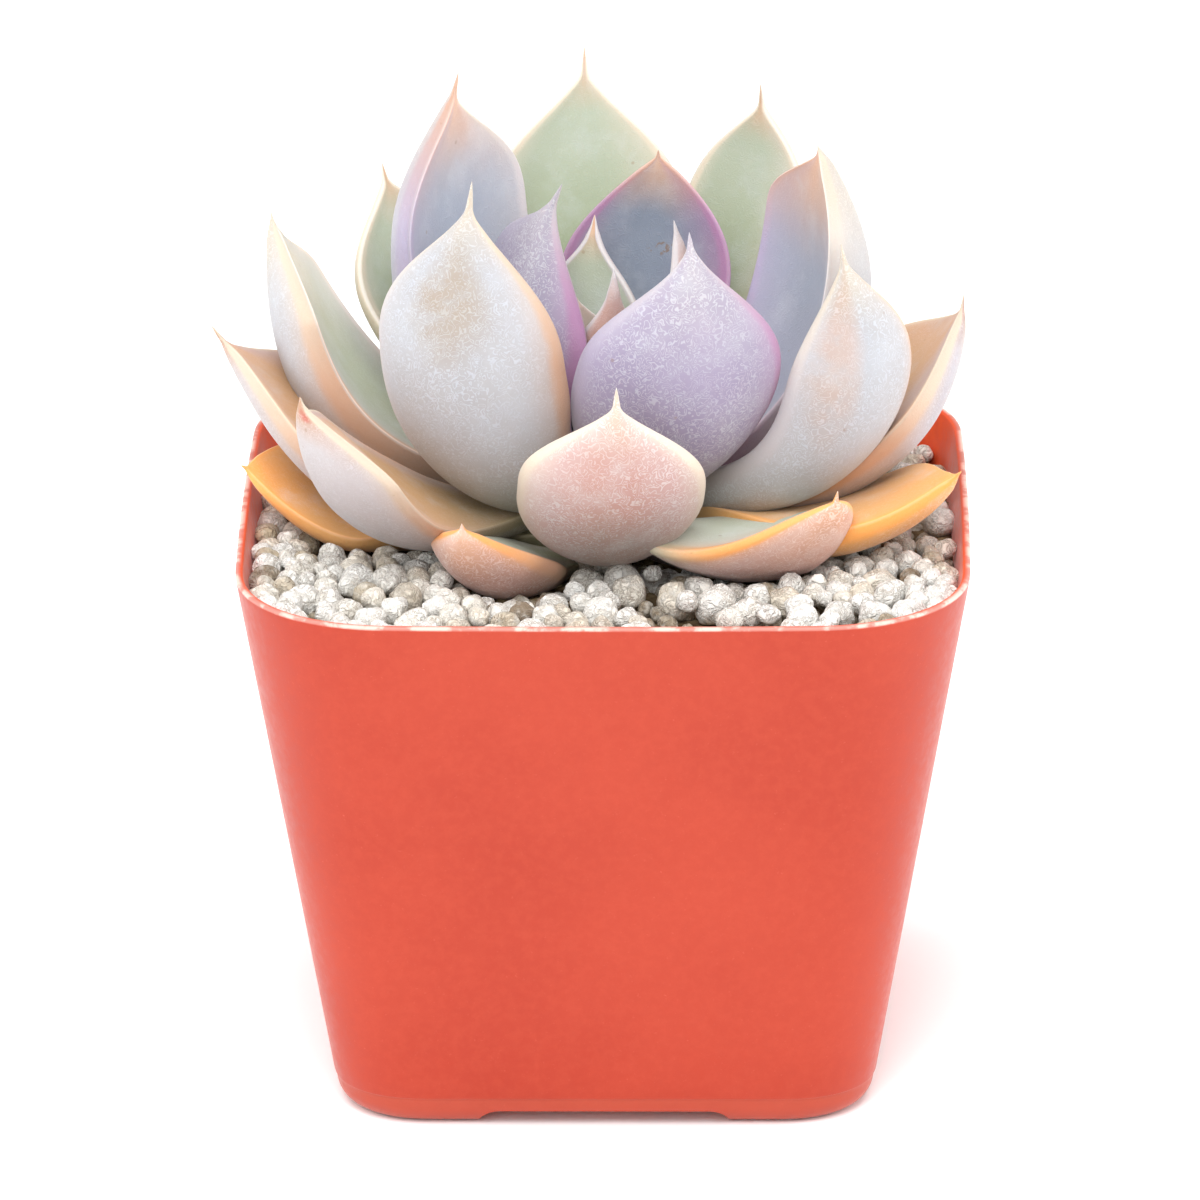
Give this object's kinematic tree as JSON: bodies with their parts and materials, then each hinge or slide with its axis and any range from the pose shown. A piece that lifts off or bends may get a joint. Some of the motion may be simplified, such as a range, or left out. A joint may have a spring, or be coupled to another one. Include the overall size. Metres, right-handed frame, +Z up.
{
  "type": "potted succulent",
  "caption": "Small potted mensa echeveria: a rosette of thick, pointed, pale leaves with pink, orange and yellow margins in a square tapered plastic pot topped with white pumice.",
  "frame": {"origin": "centre of the bounding box, on the plane that the four feet of the pot stand on", "axes": "+Z up; -Y towards the side that the picture shows; +X to the right of that side"},
  "size_m": [0.0742, 0.0712, 0.0973],
  "materials": {
    "pot_plastic": "thin moulded terracotta-red plastic with a fine matt grain",
    "stem_tissue": "dull, corky",
    "potting_mix": "loose, matt, fibrous",
    "pumice": "loose white pumice grit, matt",
    "flesh_centre_5": "powdery, matt, waxy bloom",
    "flesh_centre_4": "powdery, matt, waxy bloom",
    "flesh_centre_3": "powdery, matt, waxy bloom",
    "flesh_centre_2": "powdery, matt, waxy bloom",
    "flesh_centre_1": "powdery, matt, waxy bloom",
    "flesh_heart_front": "powdery, matt, waxy bloom",
    "flesh_heart_back": "powdery, matt, waxy bloom",
    "flesh_heart_right": "powdery, matt, waxy bloom",
    "flesh_inner_left": "powdery, matt, waxy bloom",
    "flesh_inner_back": "powdery, matt, waxy bloom",
    "flesh_inner_front_right": "powdery, matt, waxy bloom",
    "flesh_inner_front_left": "powdery, matt, waxy bloom",
    "flesh_inner_back_left": "powdery, matt, waxy bloom",
    "flesh_inner_right": "powdery, matt, waxy bloom",
    "flesh_mid_front_right": "powdery, matt, waxy bloom",
    "flesh_mid_left": "powdery, matt, waxy bloom",
    "flesh_mid_back": "powdery, matt, waxy bloom",
    "flesh_mid_back_right": "powdery, matt, waxy bloom",
    "flesh_mid_back_left": "powdery, matt, waxy bloom",
    "flesh_mid_rear_left": "powdery, matt, waxy bloom",
    "flesh_mid_rear_right": "powdery, matt, waxy bloom",
    "flesh_outer_front": "powdery, matt, waxy bloom",
    "flesh_outer_right": "powdery, matt, waxy bloom",
    "flesh_outer_left": "powdery, matt, waxy bloom",
    "flesh_outer_front_left": "powdery, matt, waxy bloom",
    "flesh_low_right": "powdery, matt, waxy bloom",
    "flesh_low_left": "powdery, matt, waxy bloom",
    "flesh_low_front_right": "powdery, matt, waxy bloom",
    "flesh_low_front_left": "powdery, matt, waxy bloom",
    "flesh_low_back_right": "powdery, matt, waxy bloom",
    "flesh_low_back": "powdery, matt, waxy bloom",
    "flesh_low_rear_left": "powdery, matt, waxy bloom",
    "flesh_low_back_left": "powdery, matt, waxy bloom"
  },
  "bodies": {
    "root": {"pot": "pot_plastic", "stem_and_roots": "stem_tissue", "potting_soil": "potting_mix", "pumice_top_dressing": "pumice", "leaf_centre_5": "flesh_centre_5", "leaf_centre_4": "flesh_centre_4", "leaf_centre_3": "flesh_centre_3", "leaf_centre_2": "flesh_centre_2", "leaf_centre_1": "flesh_centre_1", "leaf_heart_front": "flesh_heart_front", "leaf_heart_back": "flesh_heart_back", "leaf_heart_right": "flesh_heart_right", "leaf_inner_left": "flesh_inner_left", "leaf_inner_back": "flesh_inner_back", "leaf_inner_front_right": "flesh_inner_front_right", "leaf_inner_front_left": "flesh_inner_front_left", "leaf_inner_back_left": "flesh_inner_back_left", "leaf_inner_right": "flesh_inner_right", "leaf_mid_front_right": "flesh_mid_front_right", "leaf_mid_left": "flesh_mid_left", "leaf_mid_back": "flesh_mid_back", "leaf_mid_back_right": "flesh_mid_back_right", "leaf_mid_back_left": "flesh_mid_back_left", "leaf_mid_rear_left": "flesh_mid_rear_left", "leaf_mid_rear_right": "flesh_mid_rear_right", "leaf_outer_front": "flesh_outer_front", "leaf_outer_right": "flesh_outer_right", "leaf_outer_left": "flesh_outer_left", "leaf_outer_front_left": "flesh_outer_front_left", "leaf_low_right": "flesh_low_right", "leaf_low_left": "flesh_low_left", "leaf_low_front_right": "flesh_low_front_right", "leaf_low_front_left": "flesh_low_front_left", "leaf_low_back_right": "flesh_low_back_right", "leaf_low_back": "flesh_low_back", "leaf_low_rear_left": "flesh_low_rear_left", "leaf_low_back_left": "flesh_low_back_left"}
  },
  "joints": []
}
